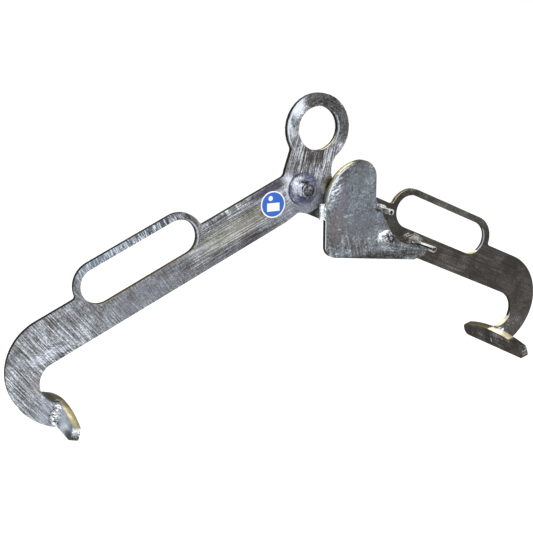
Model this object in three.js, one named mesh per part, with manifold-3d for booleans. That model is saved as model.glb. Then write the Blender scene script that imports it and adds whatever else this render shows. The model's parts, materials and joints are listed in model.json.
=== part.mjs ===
// Drum tongs for a lying steel drum: two flat plate arms that cross on one bolt,
// a lifting eye on the front arm, a looped hand hole in each arm, and a claw plate
// welded across each hooked end. Shown standing on the claws, open against the stop.
// Millimetres. +Z is up, +X runs along the drum, the front of the tongs faces -Y.
// The origin is on the floor below the pivot, halfway along the claws.

import * as THREE from 'three';
import { mergeVertices } from 'three/addons/utils/BufferGeometryUtils.js';
import Module from 'manifold-3d';

const wasm = await Module();
wasm.setup();

// Fits and clearances
const seatGap = 0.3;
const armGap = 0.6;
const guardClearance = 1;
const cutOverrun = 5;

// Facets in a full turn and in an arc
const roundSegments = 40;
const smallSegments = 24;
const arcSegments = 12;

// Arm plates
const plateThickness = 10;
const armWidth = 80;
const openAngle = THREE.MathUtils.degToRad(24.3);

// Hand hole and its loop, centred on the upper edge of the arm
const handHoleReach = 254;
const handHoleToClaw = 168;
const handHoleWidth = 66;
const handLoopRim = 12.5;
const handLoopFillet = 6;

// Hook at the end of the arm
const hookOverhang = 54;
const hookOuterRadius = 98;
const hookBackRadius = 117;
const hookThroatOverhang = 5;
const hookThroatRadius = 38;

// Claw plate, standing across the hook
const clawLength = 196;
const clawHeight = 39;
const clawEndHeight = 24;
const clawThickness = 15;
const clawTilt = THREE.MathUtils.degToRad(40);
const clawToeReach = 589;
const clawToeBelowHook = 94.5;
const clawRearShift = 6;
const clawFootRadius = 5;
const clawTopRadius = 3;
const clawWeldLeg = 11;

// Lifting eye on the front arm
const eyeBackset = 74;
const eyeRise = 87.5;
const eyeHole = 82;
const eyeRim = 24;
const neckFootReach = 23;
const neckSlope = THREE.MathUtils.degToRad(50);
const neckFillet = 12;
const neckBackFillet = 40;

// Head of the front arm below the eye
const headBackset = 63;
const headDrop = 48;
const headCornerRadius = 36;
const headShoulderReach = 11;
const headShoulderRadius = 14;
const reliefNearReach = 26;
const reliefFarReach = 57;
const reliefDepth = 4;
const reliefRadius = 12;

// Pivot
const boltDiameter = 20;
const boltHeadHeight = 12.5;
const boltEndChamfer = 1.5;
const boltEndRecess = 2;
const hexAcross = 30;
const hexChamfer = 1.6;
const sleeveDiameter = 30;
const sleeveSpare = 0.2;
const washerDiameter = 60;
const washerThickness = 4;
const nutHexHeight = 18;
const nutCollarHeight = 2;
const nutCollarDiameter = 26.5;
const nutRingDiameter = 24;
const nutRingHeight = 3.5;
const nutLipHeight = 0.8;

// Guard plate over the gap between the arms, drawn from the pivot with the tongs open
const guardThickness = 12;
const guardLeft = 43;
const guardRight = 152;
const guardLeftRise = 31;
const guardRightRise = 55;
const guardSweepRadius = 83;
const guardCrownRadius = 34;
const guardBendDrop = 32;
const guardBendRadius = 25;
const guardNookReach = 203;
const guardNookDrop = 124;
const guardNookRadius = 64;
const guardTipReach = 315;
const guardTipDrop = 138;
const guardTipRadius = 11;
const guardHeelReach = 244;
const guardHeelDrop = 159.5;
const guardHeelRadius = 12;
const guardFootDrop = 133.5;
const guardFootRadius = 22;

// Stop block and spacer between the guard plate and the rear arm
const stopBlockWidth = 21;
const spacerReach = 205;
const spacerDrop = 22;
const spacerDiameter = 34;
const plugDiameter = 24;
const plugDome = 1.5;

// Slotted spring pins through the rear arm, standing out past the guard plate
const pinDiameter = 12;
const pinWall = 2.5;
const pinSlot = 2.6;
const pinLead = 1.2;
const pinFrontDepth = 66;
const pinRearProud = 1.5;
const upperPinReach = 166;
const upperPinRise = 21;
const upperPinSlotTurn = THREE.MathUtils.degToRad(-75);
const lowerPinReach = 292;
const lowerPinRise = -13;
const lowerPinSlotTurn = THREE.MathUtils.degToRad(184);

// Values that follow from the sizes above
const quarter = Math.PI / 2;
const halfWidth = armWidth / 2;
const hookReach = clawToeReach + hookOverhang;
const hookThroatReach = clawToeReach + hookThroatOverhang;
const clawToeDrop = hookOuterRadius - halfWidth + clawToeBelowHook;
const handHoleFarReach = clawToeReach - handHoleToClaw;
const nearFace = armGap / 2;
const farFace = nearFace + plateThickness;
const guardBack = -farFace - guardClearance;
const guardFront = guardBack - guardThickness;
const handHoleRadius = handHoleWidth / 2;
const eyeRadius = eyeHole / 2 + eyeRim;
const boreDiameter = sleeveDiameter + 2 * seatGap;
const pinHoleDiameter = pinDiameter + 2 * seatGap;
const stopFace = halfWidth;
const sleeveEnd = farFace + sleeveSpare;
const washerNear = sleeveEnd + seatGap;
const washerFar = washerNear + washerThickness;
const hexNear = washerFar + seatGap;
const nutHeight = nutHexHeight + nutCollarHeight;
const nutEnd = hexNear + nutHeight;
const pivotHeight = clawToeReach * Math.sin(openAngle) + clawToeDrop * Math.cos(openAngle);
const upperPin = new THREE.Vector2(upperPinReach, upperPinRise);
const lowerPin = new THREE.Vector2(lowerPinReach, lowerPinRise);

// Directions along the height of the claw plate and out of its back, in the arm's axes
const clawUp = new THREE.Vector2(-Math.sin(clawTilt), Math.cos(clawTilt));
const clawOut = new THREE.Vector2(Math.cos(clawTilt), Math.sin(clawTilt));
const clawToe = new THREE.Vector2(clawToeReach, -clawToeDrop);

// Finishes
const frontArmFinish = finish(0xa9acb0, 0.42, 0.85);
const rearArmFinish = finish(0x55524f, 0.45, 0.85);
const clawFinish = finish(0x8f939b, 0.38, 0.85);
const guardFinish = finish(0x83878d, 0.45, 0.8);
const weldFinish = finish(0xc3c7cc, 0.3, 0.9);
const pinFinish = finish(0xcfc9b8, 0.35, 0.85);
const washerFinish = finish(0x9a9dad, 0.3, 0.9);
const boltFinish = finish(0x7b7a86, 0.4, 0.85);
const ringFinish = finish(0x3f3f46, 0.6, 0);

function finish(color, roughness, metalness) {
  return new THREE.MeshStandardMaterial({ color, roughness, metalness });
}

// Closed bodies for joining and cutting
function solid(geometry) {
  geometry.deleteAttribute('normal');
  geometry.deleteAttribute('uv');
  const merged = mergeVertices(geometry);
  const mesh = new wasm.Mesh({
    numProp: 3,
    vertProperties: new Float32Array(merged.attributes.position.array),
    triVerts: new Uint32Array(merged.index.array),
  });
  return new wasm.Manifold(mesh);
}

function geometryOf(body) {
  const mesh = body.getMesh();
  const geometry = new THREE.BufferGeometry();
  const places = new Float32Array(mesh.vertProperties);
  geometry.setAttribute('position', new THREE.BufferAttribute(places, 3));
  geometry.setIndex(new THREE.BufferAttribute(new Uint32Array(mesh.triVerts), 1));
  geometry.computeVertexNormals();
  return geometry;
}

function joined(first, ...others) {
  return others.reduce((sum, other) => sum.add(other), first);
}

function cut(first, ...others) {
  return others.reduce((rest, other) => rest.subtract(other), first);
}

function namedMesh(name, body, material) {
  const mesh = new THREE.Mesh(geometryOf(body), material);
  mesh.name = name;
  return mesh;
}

// A plate in the X-Z plane between two depths along Y
function plate(shape, front, rear) {
  const thickness = rear - front;
  const geometry = new THREE.ExtrudeGeometry(shape, {
    depth: thickness,
    bevelEnabled: false,
    curveSegments: arcSegments,
  });
  geometry.rotateX(quarter);
  geometry.translate(0, rear, 0);
  return solid(geometry);
}

// A round bar along Y, centred on a point of the X-Z plane
function bar(diameter, front, rear, centre, segments) {
  const geometry = new THREE.CylinderGeometry(diameter / 2, diameter / 2, rear - front, segments);
  geometry.translate(centre.x, (front + rear) / 2, centre.y);
  return solid(geometry);
}

// A body turned round the Y axis, from [radius, depth] points that run rearward outside
function turned(points) {
  const profile = points.map(([radius, depth]) => new THREE.Vector2(radius, depth));
  return solid(new THREE.LatheGeometry(profile, roundSegments));
}

function ring(innerDiameter, outerDiameter, front, rear) {
  const inner = innerDiameter / 2;
  const outer = outerDiameter / 2;
  return turned([[inner, front], [outer, front], [outer, rear], [inner, rear], [inner, front]]);
}

// Runs a path through corners [point, radius], rounding all but the first and the last
function runThrough(path, corners) {
  corners.slice(1, -1).forEach(([corner, radius], index) => {
    const before = corners[index][0].clone().sub(corner).normalize();
    const after = corners[index + 2][0].clone().sub(corner).normalize();
    const halfAngle = Math.acos(before.dot(after)) / 2;
    const setback = radius / Math.tan(halfAngle);
    const start = corner.clone().addScaledVector(before, setback);
    const end = corner.clone().addScaledVector(after, setback);
    const inward = before.clone().add(after).normalize();
    const centre = corner.clone().addScaledVector(inward, radius / Math.sin(halfAngle));
    const from = start.sub(centre).angle();
    const to = end.sub(centre).angle();
    path.absarc(centre.x, centre.y, radius, from, to, before.cross(after) > 0);
  });
}

function closedOutline(corners) {
  const path = new THREE.Shape();
  runThrough(path, [corners.at(-1), ...corners, corners[0]]);
  path.closePath();
  return path;
}

function point(x, y) {
  return new THREE.Vector2(x, y);
}

// Turns a point of the rear arm's axes into the upright axes at the pivot
function fromRearArm(place) {
  return place.clone().rotateAround(point(0, 0), -openAngle);
}

// Hand hole with round ends
function handHole() {
  const hole = new THREE.Path();
  hole.absarc(handHoleReach, halfWidth, handHoleRadius, quarter, 3 * quarter, false);
  hole.absarc(handHoleFarReach, halfWidth, handHoleRadius, -quarter, quarter, false);
  hole.closePath();
  return hole;
}

// Loop round the hand hole, above the upper edge of the arm
function runOverLoop(path) {
  const radius = handHoleRadius + handLoopRim;
  const turn = Math.asin(handLoopFillet / (radius + handLoopFillet));
  const spread = (radius + handLoopFillet) * Math.cos(turn);
  const rise = halfWidth + handLoopFillet;
  path.absarc(handHoleReach - spread, rise, handLoopFillet, -quarter, -turn, false);
  path.absarc(handHoleReach, halfWidth, radius, Math.PI - turn, quarter, true);
  path.absarc(handHoleFarReach, halfWidth, radius, quarter, turn, true);
  path.absarc(handHoleFarReach + spread, rise, handLoopFillet, Math.PI + turn, 3 * quarter, false);
}

// Angle at which a circle of the hook meets the back of the claw plate
function angleAtClaw(centre, radius) {
  const face = clawToe.clone().addScaledVector(clawOut, clawThickness + seatGap);
  return clawTilt - Math.acos(face.sub(centre).dot(clawOut) / radius);
}

// Hook from the upper edge round to the lower edge
function runRoundHook(path) {
  const rise = halfWidth - hookOuterRadius;
  const backCentre = point(hookReach - hookBackRadius, rise);
  const throatCentre = point(hookThroatReach - hookThroatRadius, -halfWidth - hookThroatRadius);
  const backEnd = angleAtClaw(backCentre, hookBackRadius);
  const throatEnd = angleAtClaw(throatCentre, hookThroatRadius);
  path.absarc(hookReach - hookOuterRadius, rise, hookOuterRadius, quarter, 0, true);
  path.absarc(backCentre.x, backCentre.y, hookBackRadius, 0, backEnd, true);
  path.absarc(throatCentre.x, throatCentre.y, hookThroatRadius, throatEnd, quarter, false);
}

// Rear arm, round at the pivot, with holes for the bolt sleeve and the two pins
function makeRearArm() {
  const path = new THREE.Shape();
  path.absarc(0, 0, halfWidth, 3 * quarter, quarter, true);
  runOverLoop(path);
  runRoundHook(path);
  path.closePath();
  path.holes.push(handHole());
  const front = nearFace - cutOverrun;
  const rear = farFace + cutOverrun;
  const bore = bar(boreDiameter, front, rear, point(0, 0), roundSegments);
  const pinHoles = [upperPin, lowerPin].map((place) => bar(pinHoleDiameter, front, rear, place, smallSegments));
  return namedMesh('right_arm', cut(plate(path, nearFace, farFace), bore, ...pinHoles), rearArmFinish);
}

// Ring of the lifting eye, from the back of its neck round to the slope down to the arm
function runRoundEye(path) {
  const eye = point(-eyeBackset, eyeRise);
  const backCentre = point(-headBackset - neckBackFillet, eyeRise);
  backCentre.y -= Math.sqrt((eyeRadius + neckBackFillet) ** 2 - (backCentre.x - eye.x) ** 2);
  const along = point(Math.cos(neckSlope), -Math.sin(neckSlope));
  const outward = point(Math.sin(neckSlope), Math.cos(neckSlope));
  const foot = point(neckFootReach, halfWidth);
  const offset = foot.clone().addScaledVector(outward, neckFillet).sub(eye);
  const slide = offset.dot(along);
  const back = Math.sqrt(slide ** 2 - offset.lengthSq() + (eyeRadius + neckFillet) ** 2);
  const slopeCentre = offset.addScaledVector(along, back - slide).add(eye);
  const backTurn = backCentre.clone().sub(eye).angle();
  const slopeTurn = slopeCentre.clone().sub(eye).angle();
  path.absarc(backCentre.x, backCentre.y, neckBackFillet, 0, backTurn - Math.PI, false);
  path.absarc(eye.x, eye.y, eyeRadius, backTurn, slopeTurn, true);
  path.absarc(slopeCentre.x, slopeCentre.y, neckFillet, slopeTurn - Math.PI, Math.PI + quarter - neckSlope, false);
  runThrough(path, [[slopeCentre], [foot, neckFillet], [point(handHoleReach, halfWidth)]]);
}

// Front arm with the lifting eye
function makeFrontArm() {
  const path = new THREE.Shape();
  runRoundEye(path);
  runOverLoop(path);
  runRoundHook(path);
  runThrough(path, [
    [point(hookReach, -halfWidth)],
    [point(reliefFarReach, -halfWidth), reliefRadius],
    [point(reliefNearReach, reliefDepth - halfWidth), reliefRadius],
    [point(headShoulderReach, -headDrop), headShoulderRadius],
    [point(-headBackset, -headDrop), headCornerRadius],
    [point(-headBackset, 0)],
  ]);
  path.closePath();
  path.holes.push(handHole());
  const front = nearFace - cutOverrun;
  const rear = farFace + cutOverrun;
  const bore = bar(boreDiameter, front, rear, point(0, 0), roundSegments);
  const eye = bar(eyeHole, front, rear, point(-eyeBackset, eyeRise), roundSegments);
  return namedMesh('left_arm', cut(plate(path, nearFace, farFace), bore, eye), frontArmFinish);
}

// Claw plate: a low segment of a disc with its arc up and small round corners
function clawOutline() {
  const half = clawLength / 2;
  const sagitta = clawHeight - clawEndHeight;
  const arcRadius = (half ** 2 + sagitta ** 2) / (2 * sagitta);
  const arcCentre = clawHeight - arcRadius;
  const topReach = half - clawTopRadius;
  const topTurn = Math.acos(topReach / (arcRadius - clawTopRadius));
  const topRise = arcCentre + (arcRadius - clawTopRadius) * Math.sin(topTurn);
  const footReach = half - clawFootRadius;
  const shape = new THREE.Shape();
  shape.absarc(footReach, clawFootRadius, clawFootRadius, -quarter, 0, false);
  shape.absarc(topReach, topRise, clawTopRadius, 0, topTurn, false);
  shape.absarc(0, arcCentre, arcRadius, topTurn, Math.PI - topTurn, false);
  shape.absarc(-topReach, topRise, clawTopRadius, Math.PI - topTurn, Math.PI, false);
  shape.absarc(-footReach, clawFootRadius, clawFootRadius, Math.PI, 3 * quarter, false);
  shape.closePath();
  return shape;
}

// Fillet weld between one side of the arm and the back of the claw plate
function clawWeld(side, armSide) {
  const section = new THREE.Shape();
  const wide = armSide + side * clawWeldLeg;
  const sunk = clawThickness - seatGap;
  section.moveTo(armSide, sunk);
  section.lineTo(wide, sunk);
  section.lineTo(wide, clawThickness);
  section.quadraticCurveTo(armSide + side * seatGap, clawThickness + seatGap, armSide, clawThickness + clawWeldLeg);
  section.closePath();
  return plate(section, clawFootRadius, clawHeight - clawFootRadius);
}

// Length of the claw plate to the depth, height and thickness into the plane of the arm
function makeClaw(name, rearShift) {
  const body = new THREE.ExtrudeGeometry(clawOutline(), {
    depth: clawThickness,
    bevelEnabled: false,
    curveSegments: arcSegments,
  });
  body.translate(rearShift, 0, 0);
  const welds = [clawWeld(-1, nearFace - seatGap), clawWeld(1, farFace + seatGap)];
  const mesh = namedMesh(name, joined(solid(body), ...welds), clawFinish);
  const place = new THREE.Matrix4().makeBasis(
    new THREE.Vector3(0, 1, 0),
    new THREE.Vector3(clawUp.x, 0, clawUp.y),
    new THREE.Vector3(clawOut.x, 0, clawOut.y),
  );
  place.setPosition(clawToe.x, 0, clawToe.y);
  mesh.geometry.applyMatrix4(place);
  return mesh;
}

// Guard plate with a hole for the plug weld and room for the two pins at its edge
function makeGuardPlate() {
  const outline = closedOutline([
    [point(guardLeft, guardLeftRise), guardSweepRadius],
    [point(guardRight, guardRightRise), guardCrownRadius],
    [point(guardRight, -guardBendDrop), guardBendRadius],
    [point(guardNookReach, -guardNookDrop), guardNookRadius],
    [point(guardTipReach, -guardTipDrop), guardTipRadius],
    [point(guardHeelReach, -guardHeelDrop), guardHeelRadius],
    [point(guardLeft, -guardFootDrop), guardFootRadius],
  ]);
  const front = guardFront - cutOverrun;
  const rear = guardBack + cutOverrun;
  const pinRooms = [upperPin, lowerPin].map((place) => (
    bar(pinHoleDiameter, front, rear, fromRearArm(place), smallSegments)
  ));
  const plugHole = bar(plugDiameter + 2 * seatGap, front, rear, spacerPlace(), smallSegments);
  return namedMesh('guard_plate', cut(plate(outline, guardFront, guardBack), plugHole, ...pinRooms), guardFinish);
}

function spacerPlace() {
  return fromRearArm(point(spacerReach, -spacerDrop));
}

// Stop block: the lower edge of the front arm's head rests on its sloping top, and its
// left face meets the lower edge of the front arm when the tongs are closed
function makeStopBlock() {
  const slope = Math.tan(openAngle);
  const topAt = (reach) => point(reach, reach * slope - (headDrop + seatGap) / Math.cos(openAngle));
  const footAt = (reach) => point(reach, -reach * slope - halfWidth / Math.cos(openAngle));
  const right = stopFace + stopBlockWidth;
  const block = new THREE.Shape([topAt(stopFace), topAt(right), footAt(right), footAt(stopFace)]);
  const beadRight = guardLeft - seatGap;
  const bead = new THREE.Shape([topAt(stopFace), topAt(beadRight), footAt(beadRight), footAt(stopFace)]);
  const blockBack = nearFace - seatGap;
  const blockFront = guardBack + seatGap;
  return namedMesh('stop_block', joined(plate(block, blockFront, blockBack),
    plate(bead, guardFront, blockFront + seatGap)), weldFinish);
}

// Round spacer with the plug weld that holds the far part of the guard plate
function makeGuardSpacer() {
  const place = spacerPlace();
  const washer = bar(spacerDiameter, guardBack + seatGap, nearFace - seatGap, place, smallSegments);
  const plug = bar(plugDiameter, guardFront, guardBack + 2 * seatGap, place, smallSegments);
  const dome = new THREE.SphereGeometry(plugDiameter / 2, smallSegments, arcSegments);
  dome.scale(1, 2 * plugDome / plugDiameter, 1);
  dome.translate(place.x, guardFront, place.y);
  return namedMesh('guard_spacer', joined(washer, plug, solid(dome)), weldFinish);
}

// Hollow pin with a slot along it, chamfered at both ends
function makeSpringPin(name, place, slotTurn) {
  const radius = pinDiameter / 2;
  const inner = radius - pinWall;
  const outerTurn = Math.asin(pinSlot / 2 / radius);
  const innerTurn = Math.asin(pinSlot / 2 / inner);
  const section = new THREE.Shape();
  section.absarc(0, 0, radius, slotTurn + outerTurn, slotTurn + 2 * Math.PI - outerTurn, false);
  section.absarc(0, 0, inner, slotTurn - innerTurn, slotTurn + innerTurn - 2 * Math.PI, true);
  section.closePath();
  const rear = farFace + pinRearProud;
  const nose = radius - pinLead;
  const hull = turned([[0, -pinFrontDepth], [nose, -pinFrontDepth], [radius + seatGap, -pinFrontDepth + pinLead],
    [radius + seatGap, rear - pinLead], [nose, rear], [0, rear]]);
  const mesh = namedMesh(name, plate(section, -pinFrontDepth, rear).intersect(hull), pinFinish);
  mesh.position.set(place.x, 0, place.y);
  return mesh;
}

// Hexagon on the Y axis with its outer corners turned off
function hexagon(front, rear, chamferedFront, chamferedRear) {
  const corner = hexAcross / Math.sqrt(3);
  const prism = new THREE.CylinderGeometry(corner, corner, rear - front, 6);
  prism.translate(0, (front + rear) / 2, 0);
  const flat = hexAcross / 2;
  const frontChamfer = chamferedFront ? hexChamfer : 0;
  const rearChamfer = chamferedRear ? hexChamfer : 0;
  const hull = turned([[0, front], [corner - 2 * frontChamfer, front], [corner, front + frontChamfer],
    [corner, rear - rearChamfer], [corner - 2 * rearChamfer, rear], [0, rear]]);
  return solid(prism).intersect(hull).add(turned([[0, front], [flat - hexChamfer, front],
    [flat - hexChamfer, rear], [0, rear]]));
}

// Bolt with its head at the rear
function makeBolt() {
  const radius = boltDiameter / 2;
  const end = boltEndRecess - nutEnd;
  const headEnd = hexNear + boltHeadHeight;
  const shank = turned([[0, end], [radius - boltEndChamfer, end], [radius, end + boltEndChamfer],
    [radius, headEnd - boltEndChamfer], [0, headEnd - boltEndChamfer]]);
  return namedMesh('pivot_bolt', joined(shank, hexagon(hexNear, headEnd, false, true)), boltFinish);
}

// Lock nut at the front: a hexagon with a collar that holds the clamping ring
function makeLockNut() {
  const hex = hexagon(-hexNear - nutHexHeight, -hexNear, true, false);
  const collarFront = -nutEnd;
  const collarRadius = nutCollarDiameter / 2;
  const collar = turned([[0, collarFront], [collarRadius - nutLipHeight, collarFront],
    [collarRadius, collarFront + nutLipHeight], [collarRadius, -hexNear - nutHexHeight + seatGap],
    [0, -hexNear - nutHexHeight + seatGap]]);
  const ringPocket = bar(nutRingDiameter + 2 * seatGap, collarFront - cutOverrun,
    collarFront + nutLipHeight + nutRingHeight + seatGap, point(0, 0), roundSegments);
  const bore = bar(boltDiameter + 2 * seatGap, collarFront - cutOverrun, cutOverrun, point(0, 0), roundSegments);
  return namedMesh('lock_nut', cut(joined(hex, collar), ringPocket, bore), boltFinish);
}

function makeNutRing() {
  const front = -nutEnd + nutLipHeight;
  return namedMesh('nut_ring', ring(boltDiameter + 2 * seatGap, nutRingDiameter, front, front + nutRingHeight),
    ringFinish);
}

function makeSleeve() {
  return namedMesh('pivot_sleeve', ring(boltDiameter + 2 * seatGap, sleeveDiameter, -sleeveEnd, sleeveEnd),
    boltFinish);
}

function makeWasher(name, front, rear) {
  return namedMesh(name, ring(boltDiameter + 2 * seatGap, washerDiameter, front, rear), washerFinish);
}

// Whole tongs
function makeTongs() {
  const frontArm = new THREE.Group();
  frontArm.rotation.set(0, openAngle, Math.PI, 'ZYX');
  frontArm.add(makeFrontArm(), makeClaw('left_claw', -clawRearShift));
  const rearArm = new THREE.Group();
  rearArm.rotation.y = openAngle;
  rearArm.add(makeRearArm(), makeClaw('right_claw', clawRearShift));
  rearArm.add(makeSpringPin('upper_spring_pin', upperPin, upperPinSlotTurn));
  rearArm.add(makeSpringPin('lower_spring_pin', lowerPin, lowerPinSlotTurn));
  const tongs = new THREE.Group();
  tongs.name = 'drum_tongs';
  tongs.add(frontArm, rearArm, makeGuardPlate(), makeStopBlock(), makeGuardSpacer());
  tongs.add(makeBolt(), makeSleeve(), makeLockNut(), makeNutRing());
  tongs.add(makeWasher('front_washer', -washerFar, -washerNear), makeWasher('rear_washer', washerNear, washerFar));
  tongs.position.set(0, -clawRearShift, pivotHeight);
  return tongs;
}

export default makeTongs();
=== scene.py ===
"""Galvanised drum tongs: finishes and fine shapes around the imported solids."""

import json
import random
from math import cos, pi, radians, sin

import bmesh
import bpy
from mathutils import Matrix, Vector


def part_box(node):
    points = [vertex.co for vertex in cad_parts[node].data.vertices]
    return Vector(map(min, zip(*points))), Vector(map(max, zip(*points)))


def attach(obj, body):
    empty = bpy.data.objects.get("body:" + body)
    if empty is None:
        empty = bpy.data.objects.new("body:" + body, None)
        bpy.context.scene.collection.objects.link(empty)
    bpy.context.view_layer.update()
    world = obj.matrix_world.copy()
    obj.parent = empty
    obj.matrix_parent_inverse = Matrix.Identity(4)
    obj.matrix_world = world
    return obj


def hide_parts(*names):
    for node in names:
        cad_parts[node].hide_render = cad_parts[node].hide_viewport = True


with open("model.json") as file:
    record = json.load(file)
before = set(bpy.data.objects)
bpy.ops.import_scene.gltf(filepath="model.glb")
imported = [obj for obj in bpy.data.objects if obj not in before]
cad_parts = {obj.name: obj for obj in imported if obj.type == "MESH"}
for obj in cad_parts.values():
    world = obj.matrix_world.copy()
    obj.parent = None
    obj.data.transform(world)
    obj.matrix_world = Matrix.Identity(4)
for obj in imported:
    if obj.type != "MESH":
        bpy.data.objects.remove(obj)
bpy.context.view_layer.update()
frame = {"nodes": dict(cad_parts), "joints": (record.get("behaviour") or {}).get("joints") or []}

MM = 0.001

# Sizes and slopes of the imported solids, in millimetres
ARM_DROP = radians(24.3)
ARM_THICKNESS = 10
ARM_HALF_GAP = 0.3
CLAW_TILT = radians(40)
CLAW_THICKNESS = 15
CLAW_END_HEIGHT = 24

# Places on an arm, (along, up) from the pivot
CLAW_TOE = (589, -152.5)
EYE_CENTRE = (-74, 87.5)
LOOP_END_CENTRE = (254, 40)

# Places in level axes, (x, z) from the pivot
GUARD_RIM_CENTRE = (126, -35.7)
STICKER_CENTRE = (-62.7, -23.9)

# Ways along x and along the depth
LEFT, RIGHT = -1, 1
FRONT, REAR = -1, 1

pivot = Vector(frame["joints"][0]["pos_m"])
front_face_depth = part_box("left_arm")[0].y
guard_front_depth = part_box("guard_plate")[0].y


def from_pivot(x, z, depth):
    """A point in millimetres from the pivot, at a depth in metres."""
    return Vector((pivot.x + x * MM, depth, pivot.z + z * MM))


def on_arm(along, up, depth, side):
    """The same, in the axes of the left or the right arm."""
    x = side * (along * cos(ARM_DROP) + up * sin(ARM_DROP))
    z = up * cos(ARM_DROP) - along * sin(ARM_DROP)
    return from_pivot(x, z, depth)


# Node trees

def put(tree, socket, value):
    """Link a socket, or set its constant; a colour is three numbers."""
    if isinstance(value, bpy.types.NodeSocket):
        tree.links.new(value, socket)
    elif socket.type == "RGBA":
        socket.default_value = (*value, 1)
    else:
        socket.default_value = value


def add(tree, kind, inputs, **settings):
    """A shader node with its settings made and its sockets filled or linked."""
    made = tree.nodes.new("ShaderNode" + kind)
    for key, value in settings.items():
        setattr(made, key, value)
    for key, value in inputs.items():
        put(tree, made.inputs[key], value)
    return made


def use_group(tree, group, inputs):
    """The outputs of a node group placed in a tree."""
    return add(tree, "Group", inputs, node_tree=group).outputs


def maths(tree, operation, first, second=0.0, third=0.0, clamp=False):
    inputs = {0: first, 1: second, 2: third}
    return add(tree, "Math", inputs, operation=operation, use_clamp=clamp).outputs[0]


def times(tree, first, second, clamp=False):
    return maths(tree, "MULTIPLY", first, second, clamp=clamp)


def vectors(tree, operation, first, second=(0, 0, 0)):
    return add(tree, "VectorMath", {0: first, 1: second}, operation=operation).outputs["Vector"]


def length(tree, vector):
    return add(tree, "VectorMath", {0: vector}, operation="LENGTH").outputs["Value"]


def spread(tree, value, low, high, to_low=0.0, to_high=1.0):
    """A value brought from one range to another with a smooth step."""
    return add(tree, "MapRange", {0: value, 1: low, 2: high, 3: to_low, 4: to_high},
               interpolation_type="SMOOTHSTEP").outputs[0]


def fade_out(tree, value, whole, gone):
    """One where the value is low, and nothing where it is high."""
    return spread(tree, value, whole, gone, 1.0, 0.0)


def blend_colours(tree, share, first, second):
    inputs = {0: share, 6: first, 7: second}
    return add(tree, "Mix", inputs, data_type="RGBA", clamp_factor=True).outputs[2]


def noise(tree, vector, scale, detail=4.0, roughness=0.55, distortion=0.0):
    inputs = {"Vector": vector, "Scale": scale, "Detail": detail, "Roughness": roughness, "Distortion": distortion}
    return add(tree, "TexNoise", inputs).outputs["Fac"]


def tones(tree, value, stops):
    """A colour for a tone, from (place, colour) stops."""
    made = add(tree, "ValToRGB", {0: value})
    marks = made.color_ramp.elements
    while len(marks) < len(stops):
        marks.new(0.5)
    for mark, (place, colour) in zip(marks, stops):
        mark.position = place
        mark.color = (*colour, 1)
    return made.outputs[0]


# Groups shared by the zinc finishes

IN_PLATE = (1, 0, 1)  # leaves out the depth
VECTOR = ("Vector", "Vector", (0, 0, 0))
CENTRE = ("Centre", "Vector", (0, 0, 0))


def new_group(name, inputs, outputs):
    group = bpy.data.node_groups.new(name, "ShaderNodeTree")
    for label, kind, value in inputs:
        socket = group.interface.new_socket(label, in_out="INPUT", socket_type="NodeSocket" + kind)
        socket.default_value = value
    for label in outputs:
        group.interface.new_socket(label, in_out="OUTPUT", socket_type="NodeSocketFloat")
    return group, group.nodes.new("NodeGroupInput").outputs, group.nodes.new("NodeGroupOutput").inputs


def flat_offset(tree, place, centre):
    """The way from a centre, kept in the plane of the plate."""
    return vectors(tree, "MULTIPLY", vectors(tree, "SUBTRACT", place, centre), IN_PLATE)


def build_clouds():
    """Slow clouds of the coat and fine crystal flecks, both about one half on average."""
    group, given, out = new_group("zinc clouds", [
        VECTOR,
        ("Cloud Scale", "Float", 24.0),
        ("Fleck Scale", "Float", 300.0),
    ], ["Clouds", "Flecks"])
    clouds = noise(group, given["Vector"], given["Cloud Scale"], detail=5.0, roughness=0.6, distortion=0.4)
    flecks = noise(group, given["Vector"], given["Fleck Scale"], detail=3.0, roughness=0.7)
    put(group, out["Clouds"], spread(group, clouds, low=0.3, high=0.7))
    put(group, out["Flecks"], spread(group, flecks, low=0.3, high=0.7))
    return group


def build_strokes():
    """Long strokes of the grinder or the drag through the bath, along the turned X axis."""
    group, given, out = new_group("zinc strokes", [
        VECTOR,
        ("Turn", "Vector", (0, 0, 0)),
        ("Fineness", "Vector", (12, 60, 260)),
    ], ["Strokes"])
    turned = add(group, "Mapping", {"Vector": given["Vector"], "Rotation": given["Turn"]}).outputs[0]
    fine = vectors(group, "MULTIPLY", turned, given["Fineness"])
    marks = noise(group, fine, 1.0, detail=5.0, roughness=0.72, distortion=0.2)
    put(group, out["Strokes"], spread(group, marks, low=0.35, high=0.65))
    return group


def build_round_strokes():
    """Strokes that run round a centre in the plane of the plate."""
    group, given, out = new_group("round strokes", [
        VECTOR,
        CENTRE,
        ("Across", "Float", 300.0),
        ("Along", "Float", 5.0),
    ], ["Strokes"])
    flat = flat_offset(group, given["Vector"], given["Centre"])
    parts = add(group, "SeparateXYZ", {0: flat}).outputs
    angle = maths(group, "ARCTAN2", parts["Z"], parts["X"])
    laid = add(group, "CombineXYZ", {0: times(group, length(group, flat), given["Across"]),
                                     1: times(group, angle, given["Along"])}).outputs[0]
    marks = noise(group, laid, 1.0, detail=6.0, roughness=0.76, distortion=0.3)
    put(group, out["Strokes"], spread(group, marks, low=0.34, high=0.66))
    return group


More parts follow.
